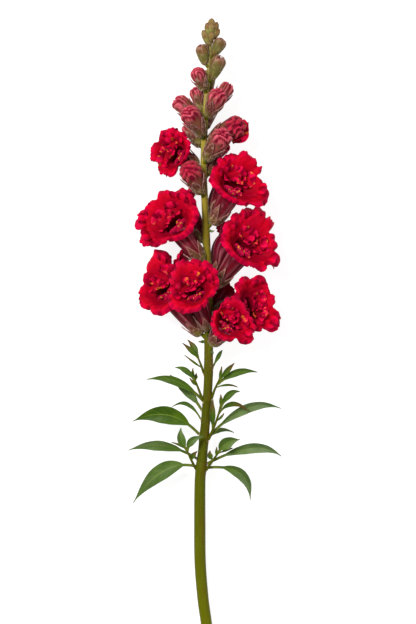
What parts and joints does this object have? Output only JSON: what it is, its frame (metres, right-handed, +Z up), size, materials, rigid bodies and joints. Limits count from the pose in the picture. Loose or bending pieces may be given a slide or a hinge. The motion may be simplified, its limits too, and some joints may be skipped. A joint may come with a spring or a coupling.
{
  "type": "snapdragon stem",
  "caption": "Cut snapdragon stem lying flat: a spike of ruffled double red flowers with buds to the tip, and slender leaves on the lower stem.",
  "frame": {"origin": "centre of the bounding box in plan, on the surface the stem lies on", "axes": "+Y along the stem from its cut end to its tip, +Z up from the surface it lies on, +X to the right of the stem seen from above with the tip away from the viewer"},
  "size_m": [0.1153, 0.4634, 0.0537],
  "materials": {
    "petal_red": "velvety, soft crimson petal",
    "bud_red": "matt, dusky rose bud petal",
    "stem_green": "satin, finely hairy green stem",
    "leaf_green": "satin green leaf"
  },
  "bodies": {
    "root": {"stem": "stem_green", "corolla_1": "petal_red", "corolla_2": "petal_red", "corolla_3": "petal_red", "corolla_4": "petal_red", "corolla_5": "petal_red", "corolla_6": "petal_red", "corolla_7": "petal_red", "corolla_8": "petal_red", "corolla_9": "petal_red", "corolla_10": "petal_red", "corolla_11": "petal_red", "corolla_12": "petal_red", "corolla_13": "petal_red", "corolla_14": "petal_red", "half_open_corolla": "petal_red", "bud_corolla_1": "bud_red", "bud_corolla_2": "bud_red", "bud_corolla_3": "bud_red", "bud_corolla_4": "bud_red", "bud_corolla_5": "bud_red", "bud_corolla_6": "bud_red", "bud_corolla_7": "bud_red", "bud_corolla_8": "bud_red", "bud_corolla_9": "bud_red", "bud_corolla_10": "bud_red", "bud_corolla_11": "bud_red", "bud_corolla_12": "bud_red", "bud_corolla_13": "bud_red", "bud_corolla_14": "bud_red", "leaf_left_1": "leaf_green", "leaf_left_2": "leaf_green", "leaf_left_3": "leaf_green", "leaf_left_4": "leaf_green", "leaf_left_5": "leaf_green", "leaf_left_6": "leaf_green", "leaf_right_1": "leaf_green", "leaf_right_2": "leaf_green", "leaf_right_3": "leaf_green", "leaf_right_4": "leaf_green", "leaf_right_5": "leaf_green", "shoot_left_1": "leaf_green", "shoot_left_2": "leaf_green", "shoot_left_3": "leaf_green", "shoot_right_1": "leaf_green", "shoot_right_2": "leaf_green", "shoot_right_3": "leaf_green"}
  },
  "joints": []
}
